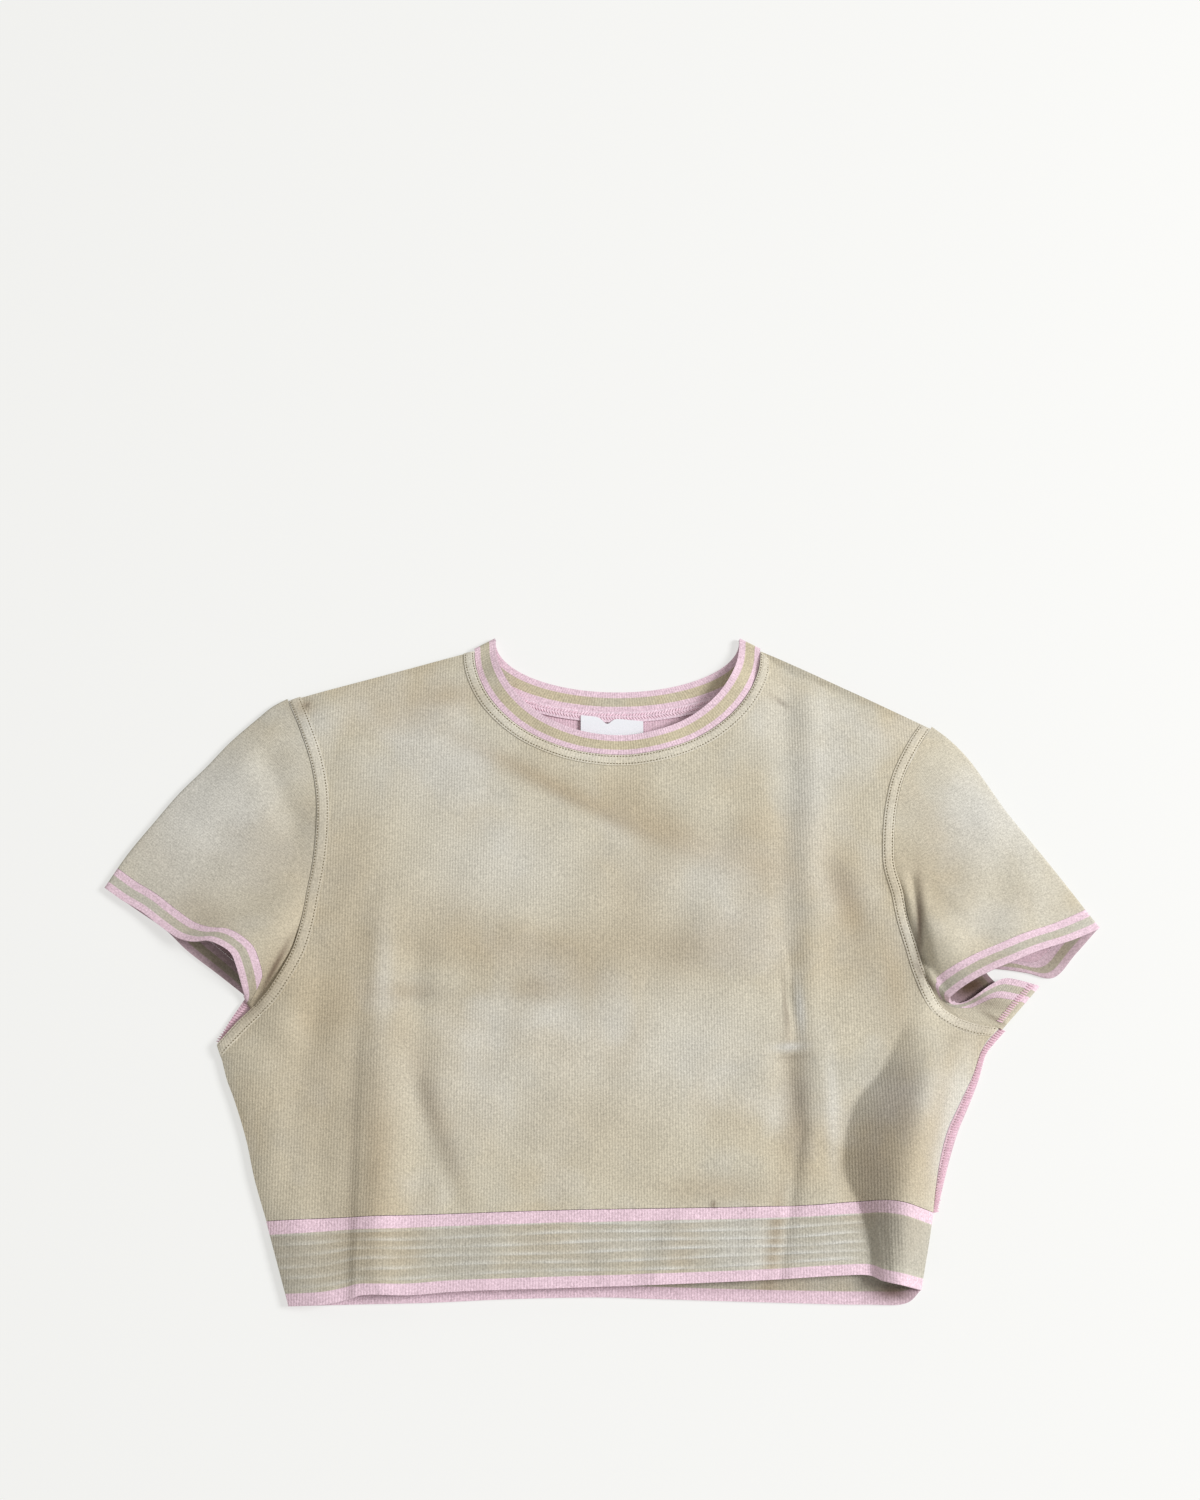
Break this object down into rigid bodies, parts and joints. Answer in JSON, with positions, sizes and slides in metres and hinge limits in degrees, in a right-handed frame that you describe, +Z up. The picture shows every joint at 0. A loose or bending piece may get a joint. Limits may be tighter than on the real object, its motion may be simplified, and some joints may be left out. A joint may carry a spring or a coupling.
{
  "type": "crop top",
  "caption": "Short-sleeved knitted crop top, laid flat with its front up: ring neckband, banded cuffs and hem, open neck, sleeves and hem, soft folds.",
  "frame": {"origin": "on the surface that the garment lies on, under the middle of its outline", "axes": "+X towards the right sleeve as seen from the front, +Y from the hem towards the neck, +Z up from the surface, out of the front"},
  "size_m": [0.6068, 0.4082, 0.0194],
  "materials": {
    "knit": "matt beige double-faced knit with fine upright wales, pink on its reverse",
    "band_knit": "matt beige knit with pink edges and fine level tuck ridges",
    "edge_knit": "matt pale pink knit with a beige stripe along its middle",
    "label_tape": "plain white woven tape"
  },
  "bodies": {
    "root": {"front_panel": "knit", "back_panel": "knit", "neck_seam_band": "knit", "armhole_band_left": "knit", "armhole_band_right": "knit", "hem_band_front": "band_knit", "hem_band_back": "band_knit", "sleeve_left": "knit", "cuff_left": "edge_knit", "sleeve_right": "knit", "cuff_right": "edge_knit", "neckband": "edge_knit", "neck_tape": "edge_knit", "label": "label_tape", "side_seam_right": "edge_knit", "underarm_left": "edge_knit"}
  },
  "joints": []
}
